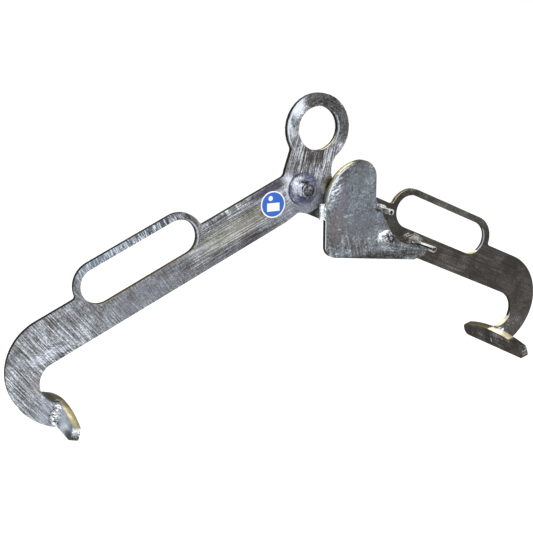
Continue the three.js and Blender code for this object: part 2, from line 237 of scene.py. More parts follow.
def build_soft_spot():
    """A soft patch with a ragged rim at a place, for painted highlights, painted reflections, painted shade and
    zones of lighter or darker tone.
    """
    group, given, out = new_group("soft spot", [
        VECTOR,
        CENTRE,
        ("Reach", "Vector", (0.05, 0.05, 0.05)),
        ("Raggedness", "Float", 0.5),
    ], ["Patch"])
    offset = vectors(group, "SUBTRACT", given["Vector"], given["Centre"])
    away = length(group, vectors(group, "DIVIDE", offset, given["Reach"]))
    rag_scale = 110.0
    rag = maths(group, "MULTIPLY_ADD", noise(group, given["Vector"], rag_scale), 2.0, -1.0)
    ragged = maths(group, "MULTIPLY_ADD", rag, given["Raggedness"], away)
    put(group, out["Patch"], fade_out(group, ragged, whole=0.3, gone=1.1))
    return group


def build_box_zone():
    """A mask that is one inside a box and fades out just past its faces."""
    group, given, out = new_group("box zone", [
        VECTOR,
        CENTRE,
        ("Half", "Vector", (0.05, 0.05, 0.05)),
        ("Fade", "Float", 0.15),
    ], ["Zone"])
    offset = vectors(group, "SUBTRACT", given["Vector"], given["Centre"])
    scaled = vectors(group, "DIVIDE", offset, given["Half"])
    sides = add(group, "SeparateXYZ", {0: vectors(group, "ABSOLUTE", scaled)}).outputs
    furthest = maths(group, "MAXIMUM", sides["X"], maths(group, "MAXIMUM", sides["Y"], sides["Z"]))
    past_faces = maths(group, "ADD", given["Fade"], 1.0)
    put(group, out["Zone"], fade_out(group, furthest, whole=1.0, gone=past_faces))
    return group


def build_rim_line():
    """A thin line that runs round a centre in the plane of the plate."""
    group, given, out = new_group("rim line", [
        VECTOR,
        CENTRE,
        ("Radius", "Float", 0.05),
        ("Width", "Float", 0.002),
    ], ["Line"])
    reach = length(group, flat_offset(group, given["Vector"], given["Centre"]))
    away = maths(group, "ABSOLUTE", maths(group, "SUBTRACT", reach, given["Radius"]))
    in_widths = maths(group, "DIVIDE", away, given["Width"])
    put(group, out["Line"], fade_out(group, in_widths, whole=0.4, gone=1.0))
    return group


def build_edge_masks():
    """Masks for faces cut square to the plate, and for faces that look a given way."""
    group, given, out = new_group("edge masks", [
        ("Normal", "Vector", (0, 0, 1)),
        ("Toward", "Vector", (0, 0, 1)),
    ], ["Cut Edge", "Facing"])
    parts = add(group, "SeparateXYZ", {0: given["Normal"]}).outputs
    put(group, out["Cut Edge"], fade_out(group, maths(group, "ABSOLUTE", parts["Y"]), whole=0.45, gone=0.8))
    both = {0: given["Normal"], 1: given["Toward"]}
    facing = add(group, "VectorMath", both, operation="DOT_PRODUCT").outputs["Value"]
    put(group, out["Facing"], spread(group, facing, low=0.35, high=0.85))
    return group


zinc_clouds = build_clouds()
zinc_strokes = build_strokes()
round_strokes = build_round_strokes()
soft_spot = build_soft_spot()
box_zone = build_box_zone()
rim_line = build_rim_line()
edge_masks = build_edge_masks()


# Placing the groups on a piece, in its own axes and in millimetres

THROUGH = 300  # a reach across a plate that covers any depth


def metres(values, between=0):
    """Lengths in metres; two lengths in the plane of a plate get a third one, across it, between them."""
    if len(values) == 2:
        values = (values[0], between, values[1])
    return [value * MM for value in values]


def patch_at(tree, place, centre, reach, raggedness):
    """A soft spot; one with only two lengths goes through the whole plate."""
    inputs = {"Vector": place, "Centre": metres(centre), "Reach": metres(reach, THROUGH), "Raggedness": raggedness}
    return use_group(tree, soft_spot, inputs)["Patch"]


def zone_at(tree, place, centre, half, fade=0.15):
    inputs = {"Vector": place, "Centre": metres(centre), "Half": metres(half), "Fade": fade}
    return use_group(tree, box_zone, inputs)["Zone"]


def own_axes(tree, output, turn, origin=(0, 0, 0)):
    """Object coordinates, or normals, turned to the axes of an arm."""
    coordinates = tree.nodes.new("ShaderNodeTexCoord").outputs
    inputs = {"Vector": coordinates[output], "Location": origin, "Rotation": turn}
    return add(tree, "Mapping", inputs, vector_type="TEXTURE").outputs[0]


def start_material(name):
    """A material that holds one Principled shader."""
    material = bpy.data.materials.new(name)
    material.use_nodes = True
    tree = material.node_tree
    tree.nodes.clear()
    output = tree.nodes.new("ShaderNodeOutputMaterial")
    shader = tree.nodes.new("ShaderNodeBsdfPrincipled")
    tree.links.new(shader.outputs["BSDF"], output.inputs["Surface"])
    return material, tree, shader


# Zinc finishes

MID_TONE = 0.5
STROKE_RAGGEDNESS = 0.3
ROUND_STROKE_RAGGEDNESS = 0.2
RIM_WIDTH = 1.7
RIM_RAGGEDNESS = 0.4
TOP_FADE = 0.3
TOP_STREAKS = (170, 9, 170)
TOP_STREAK_GAIN = 0.7
TOP_STREAK_BASE = 0.35
ZINC_METALLIC = 0.8
ZINC_SPECULAR_TINT = (0.3, 0.3, 0.3, 1)
FLECK_RELIEF = 0.3
RELIEF_DEPTH = 0.4


def swing_of(tree, marks, strength, patch):
    """Marks taken to both sides of nothing, within a patch."""
    return times(tree, times(tree, maths(tree, "SUBTRACT", marks, MID_TONE), strength), patch)


def flecked(tree, coat, share, strength, gain, base):
    """A share of a colour broken up by the flecks of the coat, for painted highlights and painted shade on rims
    and edges.
    """
    fleck_break = maths(tree, "MULTIPLY_ADD", coat["Flecks"], gain, base, clamp=True)
    return times(tree, share, times(tree, fleck_break, strength), clamp=True)


def zinc_tone(tree, place, coat, clouds, flecks, strokes, rounds, lifts):
    """The tone of the coat, and its height with the strokes in it; lifts raise or lower the tone at places, for
    painted highlights, painted shade and lighter or darker zones.
    """
    tone = maths(tree, "MULTIPLY_ADD", maths(tree, "SUBTRACT", coat["Clouds"], MID_TONE), clouds, MID_TONE)
    tone = maths(tree, "MULTIPLY_ADD", maths(tree, "SUBTRACT", coat["Flecks"], MID_TONE), flecks, tone)
    height = coat["Clouds"]
    for angle, fineness, strength, centre, reach in strokes:
        inputs = {"Vector": place, "Turn": (0, radians(angle), 0), "Fineness": fineness}
        marks = use_group(tree, zinc_strokes, inputs)["Strokes"]
        swing = swing_of(tree, marks, strength, patch_at(tree, place, centre, reach, STROKE_RAGGEDNESS))
        tone = maths(tree, "ADD", tone, swing)
        height = maths(tree, "ADD", height, swing)
    for centre, strength, reach in rounds:
        marks = use_group(tree, round_strokes, {"Vector": place, "Centre": metres(centre)})["Strokes"]
        patch = patch_at(tree, place, centre, (reach, reach), ROUND_STROKE_RAGGEDNESS)
        tone = maths(tree, "ADD", tone, swing_of(tree, marks, strength, patch))
    for centre, reach, raggedness, change in lifts:
        tone = maths(tree, "MULTIPLY_ADD", patch_at(tree, place, centre, reach, raggedness), change, tone)
    return tone, height


def zinc_colour(tree, place, normal, coat, colour, tints, rim_highlights, edges, top_light_and_shade):
    """The colour of the coat with the tinted zones laid over it, then painted highlight lines beside rims, painted
    shade and highlights on cut edges, and painted highlight and shade on arched claw plates.
    """
    for centre, reach, raggedness, overlay_colour, strength in tints:
        patch = patch_at(tree, place, centre, reach, raggedness)
        colour = blend_colours(tree, times(tree, patch, strength), colour, overlay_colour)
    # Thin painted highlight lines beside round edges
    for centre, radius, near, reach, overlay_colour, strength in rim_highlights:
        inputs = {"Vector": place, "Centre": metres(centre), "Radius": radius * MM, "Width": RIM_WIDTH * MM}
        line = use_group(tree, rim_line, inputs)["Line"]
        line = times(tree, line, patch_at(tree, place, near, reach, RIM_RAGGEDNESS))
        colour = blend_colours(tree, flecked(tree, coat, line, strength, gain=0.7, base=0.5), colour, overlay_colour)
    # Painted shade and painted highlights on cut edges, by the way they face
    for toward, centre, half, overlay_colour, strength in edges:
        masks = use_group(tree, edge_masks, {"Normal": normal, "Toward": toward})
        share = times(tree, masks["Cut Edge"], masks["Facing"])
        share = times(tree, share, zone_at(tree, place, centre, half))
        colour = blend_colours(tree, flecked(tree, coat, share, strength, gain=0.5, base=0.6), colour, overlay_colour)
    # Painted highlight and painted shade on a claw's arched top, by the way it faces, broken by streaks
    for centre, half, overlay_colour, strength in top_light_and_shade:
        facing = use_group(tree, edge_masks, {"Normal": normal, "Toward": CLAW_UP})["Facing"]
        share = times(tree, facing, zone_at(tree, place, centre, half, TOP_FADE))
        streaks = use_group(tree, zinc_strokes, {"Vector": place, "Fineness": TOP_STREAKS})["Strokes"]
        share = times(tree, share, maths(tree, "MULTIPLY_ADD", streaks, TOP_STREAK_GAIN, TOP_STREAK_BASE))
        colour = blend_colours(tree, times(tree, share, strength, clamp=True), colour, overlay_colour)
    return colour


def paint_zinc(name, turn, stops, clouds, flecks, strokes=(), rounds=(), lifts=(), tints=(), rim_highlights=(), edges=(),
               top_light_and_shade=(), roughness=(0.3, 0.5), relief=0.3):
    """A hot-dip zinc finish in a piece's own axes, lengths in millimetres.

    A centre or reach is (along, up) through the whole plate, or (along, depth, up).
    stops: (tone, colour); clouds, flecks: (scale, strength)
    strokes: (turn about the depth in degrees, fineness, strength, centre, reach)
    rounds: (centre, strength, reach) for strokes that run round a centre
    lifts: (centre, reach, raggedness, change of tone), which hold painted highlights, painted shade and lighter or
    darker zones; tints: (centre, reach, raggedness, colour, strength)
    rim_highlights: (centre, radius, place, reach, colour, strength) for painted highlight lines beside a round
    edge
    edges: (facing direction, centre, half size, colour, strength) for painted shade and painted highlights on
    faces cut square to the plate, by the way they face
    top_light_and_shade: (centre, half size, colour, strength) for painted highlight and painted shade on the
    arched top of a claw plate, by the way it faces
    """
    material, tree, shader = start_material(name)
    place = own_axes(tree, "Object", turn, pivot)
    normal = own_axes(tree, "Normal", turn)
    coat = use_group(tree, zinc_clouds, {"Vector": place, "Cloud Scale": clouds[0], "Fleck Scale": flecks[0]})
    tone, height = zinc_tone(tree, place, coat, clouds[1], flecks[1], strokes, rounds, lifts)
    colour = zinc_colour(tree, place, normal, coat, tones(tree, tone, stops), tints, rim_highlights, edges, top_light_and_shade)
    tree.links.new(colour, shader.inputs["Base Color"])
    tree.links.new(spread(tree, coat["Clouds"], 0.0, 1.0, *roughness), shader.inputs["Roughness"])
    shader.inputs["Metallic"].default_value = ZINC_METALLIC
    shader.inputs["Specular Tint"].default_value = ZINC_SPECULAR_TINT
    height = maths(tree, "MULTIPLY_ADD", coat["Flecks"], FLECK_RELIEF, height)
    bump = add(tree, "Bump", {"Height": height, "Strength": relief, "Distance": RELIEF_DEPTH * MM})
    tree.links.new(bump.outputs[0], shader.inputs["Normal"])
    return material


# Turns of the arms' own axes, ways in them, and places; ANYWHERE and ALL take in a whole piece
FRONT_ARM = (0, ARM_DROP, pi)
REAR_ARM = (0, ARM_DROP, 0)
LEVEL = (0, 0, 0)
UP = (0, 0, 1)
DOWN = (0, 0, -1)
TOWARD_CLAW = (1, 0, 0)
TOWARD_HEAD = (-1, 0, 0)
CLAW_UP = (-sin(CLAW_TILT), 0, cos(CLAW_TILT))
AT_PIVOT = (0, 0, 0)
ANYWHERE = (0, 0, 0)
ALL = (2000, 2000, 2000)

# Painted shade for cut edges, and a painted golden reflection for edge borders
PAINTED_EDGE_SHADE = (0.018, 0.015, 0.010)
PAINTED_GOLD_REFLECTION = (0.46, 0.40, 0.26)
GREY_ZINC = [(0.0, (0.030, 0.028, 0.029)), (0.3, (0.105, 0.102, 0.100)), (0.5, (0.208, 0.212, 0.224)),
             (0.7, (0.345, 0.38, 0.42)), (1.0, (0.82, 0.87, 0.94))]
BROWN_ZINC = [(0.0, (0.012, 0.011, 0.009)), (0.5, (0.047, 0.042, 0.037)), (0.75, (0.105, 0.100, 0.094)),
              (1.0, (0.62, 0.63, 0.64))]
CLOUD_ZINC = [(0.0, (0.035, 0.034, 0.033)), (0.3, (0.110, 0.112, 0.114)), (0.5, (0.178, 0.196, 0.216)),
              (0.7, (0.33, 0.37, 0.41)), (1.0, (0.80, 0.86, 0.92))]
PALE_ZINC = [(0.0, (0.025, 0.025, 0.027)), (0.3, (0.14, 0.14, 0.15)), (0.5, (0.50, 0.53, 0.57)),
             (0.7, (0.84, 0.87, 0.90)), (1.0, (0.95, 0.96, 0.97))]
PALE_CLAW_ZINC = [(0.0, (0.04, 0.04, 0.04)), (0.35, (0.16, 0.16, 0.17)), (0.6, (0.36, 0.42, 0.49)),
                  (1.0, (0.95, 0.97, 1.0))]
HOLLOW_PIN_ZINC = [(0.0, (0.012, 0.012, 0.014)), (0.3, (0.09, 0.09, 0.09)), (0.5, (0.38, 0.38, 0.36)),
                   (1.0, (0.90, 0.91, 0.91))]
BLUE_ZINC = [(0.0, (0.015, 0.015, 0.03)), (0.5, (0.125, 0.13, 0.20)), (0.75, (0.40, 0.43, 0.52)),
             (1.0, (0.92, 0.95, 1.0))]
DARK_ZINC = [(0.0, (0.02, 0.02, 0.025)), (0.5, (0.050, 0.043, 0.052)), (1.0, (0.70, 0.73, 0.80))]
DARKEST_ZINC = [(0.0, (0.02, 0.02, 0.025)), (0.5, (0.032, 0.028, 0.042)), (1.0, (0.50, 0.52, 0.60))]
BRIGHT_ROUGHNESS = (0.18, 0.4)
END_SPECKLE = (420, 420, 420)

front_zinc = paint_zinc(
    "front arm zinc", FRONT_ARM, GREY_ZINC, clouds=(34.0, 0.22), flecks=(420.0, 0.34),
    strokes=[
        (0, (16, 60, 860), 0.86, (140, 0), (180, 60)),
        (76, (30, 60, 560), 0.68, (575, -40), (190, 190)),
        (34, (30, 60, 620), 0.42, (540, -22), (70, 30)),
        (80, (40, 60, 560), 0.36, (360, -20), (170, 60)),
        (90, (60, 60, 520), 1.45, (335, 84), (150, 40)),
        (80, (50, 60, 220), 0.60, (165, 38), (110, 10)),
        (128, (24, 60, 640), 1.9, (-44, 46), (62, 60)),
        (6, (20, 60, 420), 0.40, (540, -30), (50, 26)),
    ],
    rounds=[(EYE_CENTRE, 0.6, 85)],
    lifts=[
        # Painted highlight: the eye's bright top
        ((-53, 146), (21, 26), 0.15, 0.62),  # eye, bright at the top
        ((-20, 116), (9, 26), 0.2, 0.24),  # eye, right
        ((-25, 104), (7, 34), 0.4, 0.18),  # eye, right
        ((-40, -30), (10, 24), 0.4, 0.34),  # head, beside the sticker
        ((222, 62), (14, 30), 0.5, -0.20),  # hand loop, near end
        ((-99, 137), (40, 26), 0.5, -0.30),  # eye, dull at the top left
        ((-124, 88), (26, 54), 0.4, -0.34),  # eye, dull at the left
        # Painted highlight: a thin bright line on the eye's left rim
        ((-135, 108), (3, 10), 0.2, 0.40),  # eye, left rim
        ((-100, 40), (9, 14), 0.6, 0.12),  # eye, low left
        ((-44, 48), (34, 34), 0.5, -0.38),  # neck, dark
        ((-68, 32), (9, 20), 0.7, 0.34),  # neck, bright at the left
        ((-30, -12), (40, 40), 0.6, -0.10),  # head
        # Painted reflection: the halo lifts brighten the plate round the washer
        ((22, 33), (17, 16), 0.5, 0.30),  # halo round the washer
        ((19, 31), (9, 9), 0.15, 0.30),  # halo, top
        ((29, 16), (8, 10), 0.15, 0.26),  # halo, top right
        ((34, 0), (7, 10), 0.15, 0.24),  # halo, right
        ((36, -6), (12, 34), 0.5, 0.06),  # halo, low right
        ((56, 33), (26, 11), 0.6, -0.40),  # bar, dark along the top
        ((92, 33), (22, 9), 0.6, -0.28),  # bar, dark along the top
        ((150, -30), (140, 16), 0.6, -0.16),  # bar, dull along the bottom
        ((115, -36), (60, 8), 0.6, -0.18),  # bar, dull along the bottom
        ((-50, -25), (30, 20), 0.5, -0.16),  # head, under the sticker
        ((500, 0), (60, 40), 0.6, 0.02),  # bar, past the hand loop
        ((575, -40), (120, 140), 0.5, 0.03),  # hook
        ((330, -10), (120, 34), 0.5, -0.06),  # bar, under the hand loop
        ((560, -22), (40, 16), 0.6, 0.16),  # hook, bright before the bend
        ((604, -118), (30, 28), 0.5, 0.24),  # hook, bright at the claw
        ((330, 90), (160, 36), 0.4, -0.06),  # hand loop, along the top
        ((432, 76), (26, 34), 0.4, 0.14),  # hand loop, far end
        ((262, 92), (44, 20), 0.5, -0.14),  # hand loop, near the top
    ],
    tints=[
        ((-40, 60), (60, 60), 0.7, (0.17, 0.14, 0.13), 0.22),  # neck, brownish
        ((10, -20), (56, 34), 0.6, (0.25, 0.24, 0.36), 0.18),  # head, violet
        ((170, -36), (150, 9), 0.7, (0.13, 0.11, 0.17), 0.22),  # bar, violet along the bottom
        ((60, 34), (60, 8), 0.7, (0.12, 0.10, 0.17), 0.4),  # bar, violet along the top
        ((150, 0), (120, 26), 0.7, (0.29, 0.26, 0.17), 0.38),  # bar, yellowish
        ((548, -24), (50, 14), 0.9, (0.52, 0.54, 0.72), 0.14),  # hook, bluish before the bend
        ((604, -116), (30, 30), 0.5, (0.34, 0.36, 0.43), 0.5),  # hook, bluish at the claw
        ((590, -60), (30, 24), 0.8, (0.25, 0.20, 0.19), 0.4),  # hook, brownish in the bend
        ((337, 92), (150, 22), 0.5, (0.24, 0.33, 0.42), 0.28),  # hand loop, blue along the top
        ((400, 82), (70, 30), 0.6, (0.38, 0.48, 0.58), 0.26),  # hand loop, blue at the far end
        ((350, -20), (110, 30), 0.8, (0.21, 0.23, 0.28), 0.35),  # bar, bluish under the hand loop
    ],
    # Painted highlights: thin pale lines along the eye's rims, the hand loop's near end and round the washer
    rim_highlights=[
        (EYE_CENTRE, 62.2, (-24, 126), (54, 54), (0.74, 0.80, 0.92), 1.3),
        (EYE_CENTRE, 43.4, (-108, 60), (36, 48), (0.52, 0.62, 0.76), 0.9),
        (LOOP_END_CENTRE, 35.4, (222, 34), (28, 40), (0.60, 0.64, 0.74), 0.8),
        (AT_PIVOT, 32.6, (28, 12), (26, 34), (0.80, 0.84, 0.90), 1.1),
        (AT_PIVOT, 34.8, (30, 12), (22, 30), (0.66, 0.70, 0.76), 0.8),
    ],
    # Painted shade on cut edges that face up, toward the claw and toward the head, and on the hand hole's lower
    # edge; painted highlight and golden reflection on the hole's front border and the low part of the eye's bore
    edges=[
        (UP, (200, 3, 0), (800, 5.6, 400), PAINTED_EDGE_SHADE, 2.0),  # upper edges
        (TOWARD_CLAW, (200, 3, 0), (800, 5.6, 400), PAINTED_EDGE_SHADE, 2.0),  # far edges
        (TOWARD_HEAD, ANYWHERE, ALL, (0.05, 0.048, 0.044), 0.8),  # near edges
        (UP, (337, 5, 14), (112, 9, 24), (0.055, 0.044, 0.026), 1.6),  # hand hole, lower edge
        (UP, (337, 10.3, 14), (112, 1.0, 24), (0.30, 0.26, 0.17), 1.2),  # its front border
        ((-0.2, 0, 1.0), (-90, 8, 52), (26, 3, 16), (0.44, 0.38, 0.24), 1.2),  # eye bore, low
    ])

rear_zinc = paint_zinc(
    "rear arm zinc", REAR_ARM, BROWN_ZINC, clouds=(26.0, 0.22), flecks=(320.0, 0.22),
    strokes=[
        (0, (14, 60, 240), 0.20, (400, 0), (300, 90)),
        (40, (26, 60, 200), 0.75, (280, 0, -6), (34, 8, 20)),
        (-30, (30, 60, 420), 0.12, (590, -110), (70, 60)),
    ],
    lifts=[
        ((268, 0, -6), (16, 8, 12), 0.6, 0.22),  # bar, pale weld patch with a painted highlight, beside the guard
        ((303, 0, -22), (12, 8, 10), 0.6, 0.22),  # bar, pale weld patch with a painted highlight, further on
        # Painted light: brightens the head's shadow on the rear arm low beside the head
        ((60, 0, -30), (20, 8, 14), 0.5, 0.28),  # low beside the head
        ((610, -90), (60, 60), 0.5, 0.15),  # hook
        ((340, 84), (150, 30), 0.5, 0.15),  # hand loop, along the top
        ((236, 84), (12, 9), 0.6, 0.24),  # hand loop, near end
        ((380, -20), (80, 40), 0.5, 0.10),  # bar, under the hand loop
    ],
    tints=[
        ((291, 0, -5), (17, 8, 10), 0.9, (0.64, 0.60, 0.55), 0.60),  # bar, pale weld patch with a painted highlight
        ((592, -80), (4, 9), 0.6, (0.55, 0.62, 0.72), 0.9),  # hook, pale fleck in the throat
    ],
    # Painted shade on cut edges that face up and toward the head, and at the hand loop's near end and the hand
    # hole's far end; painted golden reflections and highlights on edge borders, the hook's throat and the hand
    # hole's low corner
    edges=[
        (UP, (200, 8, 0), (800, 4, 300), PAINTED_EDGE_SHADE, 1.4),  # upper edges
        (TOWARD_HEAD, (200, 8, 0), (800, 4, 300), PAINTED_EDGE_SHADE, 1.2),  # near edges
        ((-0.8, 0, 0.6), (212, 5, 62), (16, 8, 30), (0.06, 0.05, 0.03), 1.0),  # hand loop, near end
        ((-0.8, 0, 0.6), (212, 0, 62), (16, 2.2, 30), PAINTED_GOLD_REFLECTION, 1.6),  # its front border
        ((-0.8, 0, 0.6), (212, 10.3, 62), (16, 2.2, 30), PAINTED_GOLD_REFLECTION, 1.4),  # its rear border
        ((-0.8, 0, 0.6), (572, 5, -104), (22, 30, 21), (0.70, 0.62, 0.42), 1.15),  # hook, throat
        (TOWARD_HEAD, (432, 8, 40), (24, 4, 26), (0.05, 0.05, 0.05), 1.4),  # hand hole, far end
        (TOWARD_HEAD, (432, 3, 40), (24, 1.6, 26), (0.36, 0.40, 0.44), 1.2),  # its front border
        ((-0.6, 0, 0.8), (424, 5, 14), (22, 30, 8), (0.70, 0.60, 0.34), 1.4),  # hand hole, low corner
    ])

guard_zinc = paint_zinc(
    "guard zinc", LEVEL, CLOUD_ZINC, clouds=(64.0, 0.30), flecks=(260.0, 0.50),
    strokes=[
        (25, (110, 60, 380), 0.9, (64, 2), (24, 40)),
        (62, (60, 60, 330), 0.22, (90, -40), (70, 60)),
        (-80, (22, 60, 260), 0.40, (90, -120), (90, 40)),
        (-12, (22, 60, 260), 0.40, (210, -140), (90, 34)),
    ],
    lifts=[
        ((100, -60), (120, 110), 0.3, -0.065),  # whole sheet
        ((108, 30), (50, 44), 0.4, -0.15),  # top
        ((150, -148), (140, 17), 0.4, -0.36),  # dull along the bottom
        ((166, -104), (12, 14), 0.6, 0.34),  # bright beside the plug weld
        ((62, 4), (15, 28), 0.7, 0.26),  # bright at the left rim
        ((54, -24), (9, 24), 0.7, 0.22),  # bright at the left rim
        ((84, -34), (12, 34), 0.5, -0.12),  # dull inside the left rim
        ((104, 50), (44, 12), 0.5, -0.14),  # dull along the top
        ((88, -57), (14, 4), 0.7, 0.30),  # bright mark
        ((72, -82), (5, 3), 0.3, 0.60),  # bright chip
        ((76, -88), (11, 9), 0.3, -0.14),  # dull under the chip
        ((82, -112), (14, 30), 0.7, 0.14),  # low left
        ((58, -100), (24, 36), 0.6, -0.10),  # low left edge
        ((120, -84), (30, 30), 0.6, -0.06),  # middle
        ((194, -116), (15, 13), 0.9, -0.38),  # dark at the plug weld
        ((146, -46), (12, 9), 0.7, 0.22),  # bright beside the upper pin
        ((230, -148), (70, 16), 0.6, -0.10),  # foot
    ],
    tints=[
        ((110, -90), (70, 44), 0.9, (0.13, 0.125, 0.125), 0.35),  # middle, grey
        ((120, -50), (90, 60), 0.9, (0.17, 0.20, 0.25), 0.4),  # middle, bluish
        ((80, -20), (20, 44), 0.8, (0.17, 0.155, 0.20), 0.5),  # inside the left rim, violet
        ((76, 36), (12, 30), 0.8, (0.10, 0.085, 0.11), 0.6),  # top left, violet
        ((108, 53), (50, 9), 0.6, (0.09, 0.075, 0.09), 0.6),  # top rim, violet
        ((150, 10), (5, 50), 0.6, (0.10, 0.09, 0.10), 0.6),  # right rim, dark
        ((66, -76), (24, 40), 0.9, (0.15, 0.125, 0.12), 0.5),  # left, brownish
        ((120, 14), (34, 36), 0.9, (0.19, 0.225, 0.25), 0.45),  # top, bluish
    ],
    # Painted highlight: a thin pale line along the guard's round rim at the left
    rim_highlights=[(GUARD_RIM_CENTRE, 80.6, (64, 12), (44, 56), (0.80, 0.82, 0.82), 1.5)],
    # Painted shade on upward-facing edges and the low left edge; painted highlights in grey, gold and near white
    # on the rest of the left edge, with painted shade along the golden part's rear border
    edges=[
        (UP, (100, -13, 0), (400, 5, 300), PAINTED_EDGE_SHADE, 1.5),  # upper edges
        (TOWARD_HEAD, (100, -14, -132), (400, 7.5, 78), (0.015, 0.020, 0.022), 2.0),  # left edge, low
        (TOWARD_HEAD, (100, -17, -24), (400, 4, 30), (0.34, 0.33, 0.30), 1.4),  # left edge, middle
        ((-0.8, 0, 0.6), (66, -17, 34), (34, 4, 36), (0.42, 0.35, 0.15), 1.5),  # left edge, golden at the top
        ((-0.8, 0, 0.6), (66, -12, 34), (34, 1.6, 36), PAINTED_EDGE_SHADE, 1.4),  # its rear border
        ((-0.9, 0, 0.3), (60, -22.0, -20), (34, 1.8, 90), (0.72, 0.72, 0.70), 2.4),  # left edge, front border
    ])

left_claw_zinc = paint_zinc(
    "left claw zinc", FRONT_ARM, PALE_CLAW_ZINC, clouds=(40.0, 0.10), flecks=(300.0, 0.14),
    strokes=[(0, END_SPECKLE, 1.3, (588, 95, -138), (22, 5, 22))],
    lifts=[
        ((588, 46, -124), (40, 40, 30), 0.2, 0.34),  # front half, bright
        ((590, -50, -120), (44, 50, 40), 0.2, -0.42),  # rear half, dull
        # Painted dark reflection on the back face beside the end, and on the end face a painted highlight high up
        # and painted shade at the foot
        ((596, 84, -138), (9, 40, 11), 0.3, -0.40),  # dark beside the end
        ((583, 92.5, -133), (14, 3, 9), 0.9, 0.34),  # end, high
        ((593, 92.5, -147), (14, 3, 8), 0.9, -0.50),  # end, dark at the foot
    ],
    tints=[((590, -50, -120), (44, 50, 40), 0.2, (0.09, 0.08, 0.055), 0.8)],
    # Painted highlight and shade on the arched top, by the way it faces: dark at the rear, golden at the front
    top_light_and_shade=[
        ((586, -46, -112), (40, 40, 40), (0.08, 0.068, 0.042), 2.0),
        ((586, 10, -112), (40, 22, 40), (0.19, 0.165, 0.10), 2.0),
        ((586, 66, -112), (40, 40, 40), (0.33, 0.285, 0.155), 1.5),
    ])

right_claw_zinc = paint_zinc(
    "right claw zinc", REAR_ARM, BROWN_ZINC, clouds=(36.0, 0.25), flecks=(280.0, 0.25),
    strokes=[
        (0, (60, 24, 240), 0.3, (580, 0, -140), (60, 120, 60)),
        (0, END_SPECKLE, 1.0, (585, -95, -136), (22, 4, 22)),
    ],
    lifts=[
        ((582, 8, -132), (12, 3, 24), 0.9, 0.4),  # beside the arm
        ((585, -92.5, -136), (24, 3, 20), 0.9, 0.08),  # end
        (ANYWHERE, ALL, 0.0, 0.06),  # whole plate
    ],
    # Painted highlight and shade on the arched top, by the way it faces: dark at the rear, a golden band with a
    # near-white painted highlight toward the front
    top_light_and_shade=[
        ((586, 60, -112), (40, 50, 40), (0.085, 0.065, 0.030), 1.8),
        ((586, -20, -112), (40, 28, 40), (0.74, 0.66, 0.44), 1.9),
        ((586, -13, -112), (40, 8, 40), (1.0, 0.98, 0.88), 1.6),
    ])

weld_zinc = paint_zinc(
    "weld zinc", LEVEL, PALE_ZINC, clouds=(180.0, 0.62), flecks=(420.0, 0.5),
    lifts=[(ANYWHERE, ALL, 0.0, -0.03)], roughness=BRIGHT_ROUGHNESS, relief=0.4)

bead_zinc = paint_zinc(
    "bead zinc", LEVEL, PALE_ZINC, clouds=(150.0, 0.3), flecks=(420.0, 0.3),
    lifts=[((37, -45), (60, 60), 0.0, 0.14)], roughness=BRIGHT_ROUGHNESS, relief=0.4)


def bore_shade(node, share, change):
    """A painted shade along the inside of a pin's bore and slot, as a lift for a finish."""
    low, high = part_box(node)
    centre = ((low + high) / 2 - pivot) / MM
    reach = (high.x - low.x) / 2 / MM * share
    return ((centre.x, centre.z), (reach, reach), 0.0, change)


# Painted shade inside the pins' bores and slots
pin_zinc = paint_zinc(
    "pin zinc", LEVEL, HOLLOW_PIN_ZINC, clouds=(60.0, 0.5), flecks=(420.0, 0.3),
    lifts=[bore_shade("upper_spring_pin", 0.75, -0.32), bore_shade("lower_spring_pin", 0.8, -0.62)])

plug_zinc = paint_zinc(
    "plug weld zinc", LEVEL, PALE_ZINC, clouds=(120.0, 0.5), flecks=(420.0, 0.55),
    strokes=[(-70, (60, 60, 300), 0.7, (184, -112), (20, 20))],
    lifts=[
        # Painted highlights on the weld's left and top rims
        ((162, -102), (7, 16), 0.2, 0.34),  # left rim
        ((172, -96), (9, 6), 0.2, 0.3),  # top rim
        ((187, -112), (18, 17), 0.4, -0.50),  # dark, uneven middle
    ],
    roughness=BRIGHT_ROUGHNESS, relief=0.6)

washer_zinc = paint_zinc(
    "washer zinc", LEVEL, BLUE_ZINC, clouds=(60.0, 0.2), flecks=(420.0, 0.16), rounds=[(AT_PIVOT, 0.40, 60)],
    lifts=[
        # Painted highlights at the left and top, and painted shade at the bottom and right
        ((-18, 6), (10, 17), 0.3, 0.42),  # bright at the left
        ((-10, 19), (13, 8), 0.3, 0.42),  # bright at the top
        ((4, -20), (26, 9), 0.4, -0.20),  # dull at the bottom
        ((22, 4), (9, 22), 0.4, -0.16),  # dull at the right
    ],
    # Painted shade on the washers' downward-facing edges
    edges=[(DOWN, ANYWHERE, ALL, (0.09, 0.09, 0.15), 0.8)])

# Painted light on the lock nut: its dark tones stand in for a dark reflection on its face, with a small painted
# glint at the right and a painted highlight on the flank toward the head
nut_zinc = paint_zinc(
    "nut zinc", LEVEL, DARK_ZINC, clouds=(90.0, 0.3), flecks=(500.0, 0.35),
    lifts=[((12.5, 1), (1.6, 6), 0.3, 0.5)],
    edges=[(TOWARD_HEAD, (0, -22, 0), (30, 14, 12), (0.90, 0.93, 1.0), 2.0)])

bolt_zinc = paint_zinc(
    "bolt zinc", LEVEL, DARKEST_ZINC, clouds=(110.0, 0.4), flecks=(500.0, 0.5))


def paint_ring_plastic():
    material, tree, shader = start_material("nut ring plastic")
    grain = noise(tree, own_axes(tree, "Object", LEVEL, pivot), 900.0, detail=3.0)
    tree.links.new(blend_colours(tree, grain, (0.05, 0.05, 0.06), (0.09, 0.09, 0.11)), shader.inputs["Base Color"])
    tree.links.new(spread(tree, grain, 0.0, 1.0, 0.45, 0.6), shader.inputs["Roughness"])
    return material


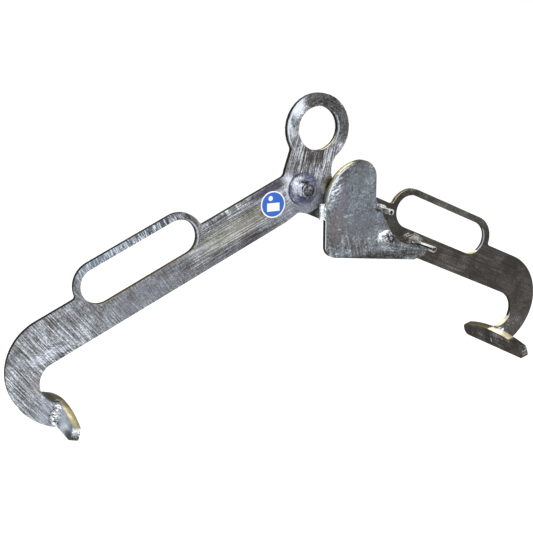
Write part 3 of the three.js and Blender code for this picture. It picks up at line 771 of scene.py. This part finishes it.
ring_plastic = paint_ring_plastic()


# Pieces

def add_piece(name, bm, material, mesh=None):
    """A piece in the scene from a bmesh, in a new mesh or in a copied one."""
    mesh = mesh or bpy.data.meshes.new(name)
    bm.to_mesh(mesh)
    bm.free()
    mesh.materials.clear()
    mesh.materials.append(material)
    piece = bpy.data.objects.new(name, mesh)
    bpy.context.scene.collection.objects.link(piece)
    return piece


# Plates and small parts with rounded edges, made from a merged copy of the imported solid

MERGE_DISTANCE = 0.002
FLAT_ANGLE = radians(0.5)
ROUNDED_ANGLE = radians(32)
CLAW_END_RADIUS = {FRONT: 8, REAR: 13}
TOP_CORNER_DROP = 0.741  # in radii
FOOT_CORNER_TURN = 84  # in degrees, like the next
TOP_CORNER_TURN = 66
CORNER_CUTS = 6
CUT_ACCURACY = 1e-7


def round_claw_ends(bm, side):
    """Cut the corners of a claw plate's ends to rounder ones, plane by plane.

    The arched top slopes at its ends, so its corner turns less than a square one and its centre lies nearer.
    """
    rise = (on_arm(-sin(CLAW_TILT), cos(CLAW_TILT), 0, side) - on_arm(0, 0, 0, side)) / MM
    middle = on_arm(*CLAW_TOE, 0, side)
    depths = [vert.co.y for vert in bm.verts]
    for end, outward in ((min(depths), FRONT), (max(depths), REAR)):
        radius = CLAW_END_RADIUS[outward]
        foot = (-1, radius, FOOT_CORNER_TURN)
        top = (1, CLAW_END_HEIGHT - TOP_CORNER_DROP * radius, TOP_CORNER_TURN)
        for way, height, turn in (foot, top):
            centre = middle + rise * height * MM
            centre.y = end - outward * radius * MM
            for cut in range(1, CORNER_CUTS + 1):
                angle = radians(turn * cut / CORNER_CUTS)
                toward = Vector((0, outward * cos(angle), 0)) + rise * way * sin(angle)
                made = bmesh.ops.bisect_plane(bm, geom=bm.verts[:] + bm.edges[:] + bm.faces[:], dist=CUT_ACCURACY,
                                              plane_co=centre + toward * radius * MM, plane_no=toward,
                                              clear_outer=True)
                rim = [item for item in made["geom_cut"] if isinstance(item, bmesh.types.BMEdge)]
                bmesh.ops.holes_fill(bm, edges=rim)
    bmesh.ops.recalc_face_normals(bm, faces=bm.faces)


def rounded_copy(name, node, body, material, edge_radius, segments=2, claw_side=None):
    mesh = frame["nodes"][node].data.copy()
    mesh.name = name
    bm = bmesh.new()
    bm.from_mesh(mesh)
    bmesh.ops.remove_doubles(bm, verts=bm.verts, dist=MERGE_DISTANCE * MM)
    bmesh.ops.dissolve_limit(bm, angle_limit=FLAT_ANGLE, verts=bm.verts, edges=bm.edges,
                             use_dissolve_boundaries=False)
    if claw_side:
        round_claw_ends(bm, claw_side)
    for face in bm.faces:
        face.smooth = True
    piece = add_piece(name, bm, material, mesh)
    rounding = piece.modifiers.new("edge rounding", "BEVEL")
    rounding.width = edge_radius * MM
    rounding.segments = segments
    rounding.limit_method = "ANGLE"
    rounding.angle_limit = ROUNDED_ANGLE
    rounding.harden_normals = True
    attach(piece, body)
    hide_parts(node)


rounded_copy("front_arm_plate", "left_arm", "lifting_arm", front_zinc, 1.0)
rounded_copy("rear_arm_plate", "right_arm", "swing_arm", rear_zinc, 1.0)
rounded_copy("left_claw_plate", "left_claw", "lifting_arm", left_claw_zinc, 1.0, claw_side=LEFT)
rounded_copy("right_claw_plate", "right_claw", "swing_arm", right_claw_zinc, 1.0, claw_side=RIGHT)
rounded_copy("guard_sheet", "guard_plate", "swing_arm", guard_zinc, 1.6)
rounded_copy("stop_block_weldment", "stop_block", "swing_arm", weld_zinc, 0.8)
rounded_copy("plug_weld_spacer", "guard_spacer", "swing_arm", plug_zinc, 0.8)
rounded_copy("upper_split_pin", "upper_spring_pin", "swing_arm", pin_zinc, 0.3)
rounded_copy("lower_split_pin", "lower_spring_pin", "swing_arm", pin_zinc, 0.3)
rounded_copy("front_plain_washer", "front_washer", "lifting_arm", washer_zinc, 0.8, segments=3)
rounded_copy("rear_plain_washer", "rear_washer", "lifting_arm", washer_zinc, 0.8, segments=3)
rounded_copy("pivot_lock_nut", "lock_nut", "lifting_arm", nut_zinc, 0.5)
rounded_copy("pivot_bolt_body", "pivot_bolt", "lifting_arm", bolt_zinc, 0.3)

for node, material in (("pivot_sleeve", bolt_zinc), ("nut_ring", ring_plastic)):
    mesh = frame["nodes"][node].data
    mesh.materials.clear()
    mesh.materials.append(material)


# Weld beads: a row of overlapping drops drawn together into one lumpy skin

UPRIGHT = (Vector((1, 0, 0)), Vector((0, 1, 0)), Vector((0, 0, 1)))
DROP_WANDER = 0.35
SMOOTHING = 0.5
CLAW_WELD_BEHIND = CLAW_THICKNESS + 2
CLAW_WELD_LIFT = 1.5
CLAW_WELD_FOOT = 4
CLAW_WELD_LENGTH = 30
STOP_BEAD_DEPTH = 17.2


def weld_bead(name, body, start, end, axes, radii, spacing, seed, material, uneven, voxel):
    """axes are three unit vectors, the last one along the bead; radii in millimetres along them."""
    chance = random.Random(seed)
    bm = bmesh.new()
    drops = max(1, round((end - start).length / (spacing * MM)))
    turn = Matrix([list(axis) for axis in axes]).transposed().to_4x4()
    for step in range(drops + 1):
        place = start.lerp(end, step / drops)
        for axis in axes[:2]:
            place = place + Vector(axis) * chance.uniform(-1, 1) * uneven * radii[0] * DROP_WANDER * MM
        size = [radius * MM * (1 + chance.uniform(-1, 1) * uneven) for radius in radii]
        bmesh.ops.create_icosphere(bm, subdivisions=2, radius=1,
                                   matrix=Matrix.Translation(place) @ turn @ Matrix.Diagonal((*size, 1)))
    piece = add_piece(name, bm, material)
    skin = piece.modifiers.new("one skin", "REMESH")
    skin.mode = "VOXEL"
    skin.voxel_size = voxel * MM
    skin.use_smooth_shade = True
    easing = piece.modifiers.new("easing", "SMOOTH")
    easing.factor = SMOOTHING
    easing.iterations = 2
    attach(piece, body)


def claw_weld(name, body, side, depth, outward, seed):
    """Fillet weld in the corner between one side of the arm and the back of the claw plate."""
    def at(rise):
        along = CLAW_TOE[0] + CLAW_WELD_BEHIND * cos(CLAW_TILT) - rise * sin(CLAW_TILT)
        up = CLAW_TOE[1] + CLAW_WELD_BEHIND * sin(CLAW_TILT) + rise * cos(CLAW_TILT)
        return on_arm(along, up, pivot.y + (depth + CLAW_WELD_LIFT * outward) * MM, side)
    along_bead = (at(CLAW_WELD_LENGTH) - at(0)).normalized()
    back = Vector((0, outward, 0))
    across = back.cross(along_bead)
    weld_bead(name, body, at(CLAW_WELD_FOOT), at(CLAW_WELD_FOOT + CLAW_WELD_LENGTH), (across, back, along_bead),
              radii=(12, 11, 5), spacing=4.2, seed=seed, material=weld_zinc, uneven=0.24, voxel=0.8)


inner_face = ARM_HALF_GAP
outer_face = ARM_HALF_GAP + ARM_THICKNESS
claw_weld("left_claw_front_weld", "lifting_arm", LEFT, -outer_face, FRONT, seed=3)
claw_weld("left_claw_rear_weld", "lifting_arm", LEFT, -inner_face, REAR, seed=5)
claw_weld("right_claw_front_weld", "swing_arm", RIGHT, inner_face, FRONT, seed=7)
claw_weld("right_claw_rear_weld", "swing_arm", RIGHT, outer_face, REAR, seed=9)

stop_bead_depth = pivot.y - STOP_BEAD_DEPTH * MM
weld_bead("stop_block_weld", "swing_arm", from_pivot(37, -31, stop_bead_depth),
          from_pivot(37.4, -60, stop_bead_depth), UPRIGHT,
          radii=(6.4, 5.6, 1.6), spacing=2.7, seed=11, material=bead_zinc, uneven=0.04, voxel=0.5)
weld_bead("plug_weld_cap", "swing_arm", from_pivot(167, -104, guard_front_depth),
          from_pivot(191, -113, guard_front_depth), UPRIGHT,
          radii=(7.5, 2.4, 9.5), spacing=5.0, seed=13, material=plug_zinc, uneven=0.22, voxel=0.7)
weld_bead("upper_pin_root_weld", "swing_arm", from_pivot(159, -44, guard_front_depth),
          from_pivot(169, -48, guard_front_depth), UPRIGHT,
          radii=(6, 2.6, 5), spacing=3.0, seed=17, material=pin_zinc, uneven=0.04, voxel=0.7)


# Round sticker on the front arm: white rim, blue field, a plain dot over a plain block

STICKER_RADIUS = 25
STICKER_SIDES = 72
STICKER_THICKNESS = 0.25
STICKER_GAP = 0.05
STICKER_FIELD_RADIUS = 22.4
DOT_CENTRE = (-5, 11.5)
DOT_RADIUS = 4.2
BLOCK_CENTRE = (0.5, -5)
BLOCK_HALF = (12.5, THROUGH, 7.5)
BLOCK_FADE = 0.05
PRINT_BLUR = 0.5


def paint_sticker():
    material, tree, shader = start_material("sticker film")
    place = own_axes(tree, "Object", LEVEL, pivot)
    flat = flat_offset(tree, place, metres(STICKER_CENTRE))

    def round_print(centre, radius):
        """The distance from a centre, and the range in which a printed round ends."""
        inputs = {0: flat, 1: metres(centre)}
        away = add(tree, "VectorMath", inputs, operation="DISTANCE").outputs["Value"]
        return away, radius * MM, (radius + PRINT_BLUR) * MM

    rim = spread(tree, *round_print((0, 0), STICKER_FIELD_RADIUS))
    dot = fade_out(tree, *round_print(DOT_CENTRE, DOT_RADIUS))
    block = zone_at(tree, flat, BLOCK_CENTRE, BLOCK_HALF, BLOCK_FADE)
    marks = maths(tree, "MAXIMUM", rim, maths(tree, "MAXIMUM", dot, block))
    print_grain = noise(tree, place, 500.0, detail=2.0)
    blue = blend_colours(tree, print_grain, (0.010, 0.095, 0.44), (0.016, 0.120, 0.52))
    white = blend_colours(tree, print_grain, (0.78, 0.78, 0.80), (0.88, 0.88, 0.90))
    tree.links.new(blend_colours(tree, marks, blue, white), shader.inputs["Base Color"])
    tree.links.new(spread(tree, print_grain, 0.3, 0.7, 0.35, 0.5), shader.inputs["Roughness"])
    return material


def make_sticker():
    """A thin disc just in front of the front arm."""
    middle = from_pivot(*STICKER_CENTRE, front_face_depth - (STICKER_GAP + STICKER_THICKNESS / 2) * MM)
    bm = bmesh.new()
    bmesh.ops.create_cone(bm, cap_ends=True, segments=STICKER_SIDES, depth=STICKER_THICKNESS * MM,
                          radius1=STICKER_RADIUS * MM, radius2=STICKER_RADIUS * MM,
                          matrix=Matrix.Translation(middle) @ Matrix.Rotation(pi / 2, 4, "X"))
    bmesh.ops.recalc_face_normals(bm, faces=bm.faces)
    piece = add_piece("round_sticker", bm, paint_sticker())
    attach(piece, "lifting_arm")


make_sticker()


# Floor, light and camera, in metres; "seen" values are for rays that show the background

WHITE = (1, 1, 1)
FLOOR_DROP = 0.30
FLOOR_HALF = 40
FLOOR_GREY = (0.80, 0.80, 0.80)
SEEN_FLOOR_GREY = (0.42, 0.42, 0.42)
SEEN_FLOOR_GLOW = 0.70
ROOM_LIGHT = 0.75
SEEN_ROOM_LIGHT = 1.0
FOCAL_PIXELS = 1120
FRAME_PIXELS = 533
CAMERA_PLACE = (-0.9863, -1.8036, 0.3722)
CAMERA_DIP = 14.28  # in degrees, like the next
CAMERA_HEADING = -26.91


def seen_rays(tree):
    """One for rays that show the background: straight, in a mirror or through glass."""
    rays = tree.nodes.new("ShaderNodeLightPath").outputs
    return maths(tree, "MAXIMUM", rays["Is Camera Ray"],
                 maths(tree, "MAXIMUM", rays["Is Glossy Ray"], rays["Is Transmission Ray"]))


def make_floor():
    """A pale floor, low enough that the closed swing arm hangs clear of it."""
    bm = bmesh.new()
    bmesh.ops.create_grid(bm, x_segments=1, y_segments=1, size=FLOOR_HALF)
    bmesh.ops.translate(bm, verts=bm.verts, vec=(0, 0, -FLOOR_DROP))
    material, tree, shader = start_material("studio floor")
    seen = seen_rays(tree)
    tree.links.new(blend_colours(tree, seen, FLOOR_GREY, SEEN_FLOOR_GREY), shader.inputs["Base Color"])
    tree.links.new(spread(tree, seen, 0.0, 1.0, 0.0, SEEN_FLOOR_GLOW), shader.inputs["Emission Strength"])
    shader.inputs["Emission Color"].default_value = (*WHITE, 1)
    shader.inputs["Roughness"].default_value = 1.0
    shader.inputs["Specular IOR Level"].default_value = 0.0
    floor = add_piece("studio_floor", bm, material)


def make_world():
    world = bpy.data.worlds.new("studio")
    bpy.context.scene.world = world
    world.use_nodes = True
    tree = world.node_tree
    tree.nodes.clear()
    strength = spread(tree, seen_rays(tree), 0.0, 1.0, ROOM_LIGHT, SEEN_ROOM_LIGHT)
    background = add(tree, "Background", {"Color": WHITE, "Strength": strength})
    output = tree.nodes.new("ShaderNodeOutputWorld")
    tree.links.new(background.outputs[0], output.inputs["Surface"])


def add_softbox(name, place, size, power):
    """A soft rectangular light that looks at the pivot."""
    light = bpy.data.lights.new(name, "AREA")
    light.shape = "RECTANGLE"
    light.size, light.size_y = size
    light.energy = power
    lamp = bpy.data.objects.new(name, light)
    bpy.context.scene.collection.objects.link(lamp)
    lamp.location = place
    lamp.rotation_euler = (pivot - Vector(place)).to_track_quat("-Z", "Y").to_euler()


def make_camera():
    camera = bpy.data.cameras.new("photo_camera")
    camera.sensor_width = 36
    camera.lens = camera.sensor_width * FOCAL_PIXELS / FRAME_PIXELS
    camera.clip_end = 100
    viewer = bpy.data.objects.new("photo_camera", camera)
    bpy.context.scene.collection.objects.link(viewer)
    viewer.location = pivot + Vector(CAMERA_PLACE)
    viewer.rotation_euler = (radians(90 - CAMERA_DIP), 0, radians(CAMERA_HEADING))
    bpy.context.scene.camera = viewer


make_floor()
make_world()
for name, place, size, power in (
        ("key softbox", (-1.6, -1.8, 2.4), (1.6, 1.2), 55),
        ("side softbox", (2.4, -1.2, 1.6), (1.0, 1.6), 25),
        ("back softbox", (0.4, 2.2, 2.0), (2.0, 0.8), 25)):
    add_softbox(name, place, size, power)
make_camera()

bpy.context.scene.view_settings.view_transform = "Standard"
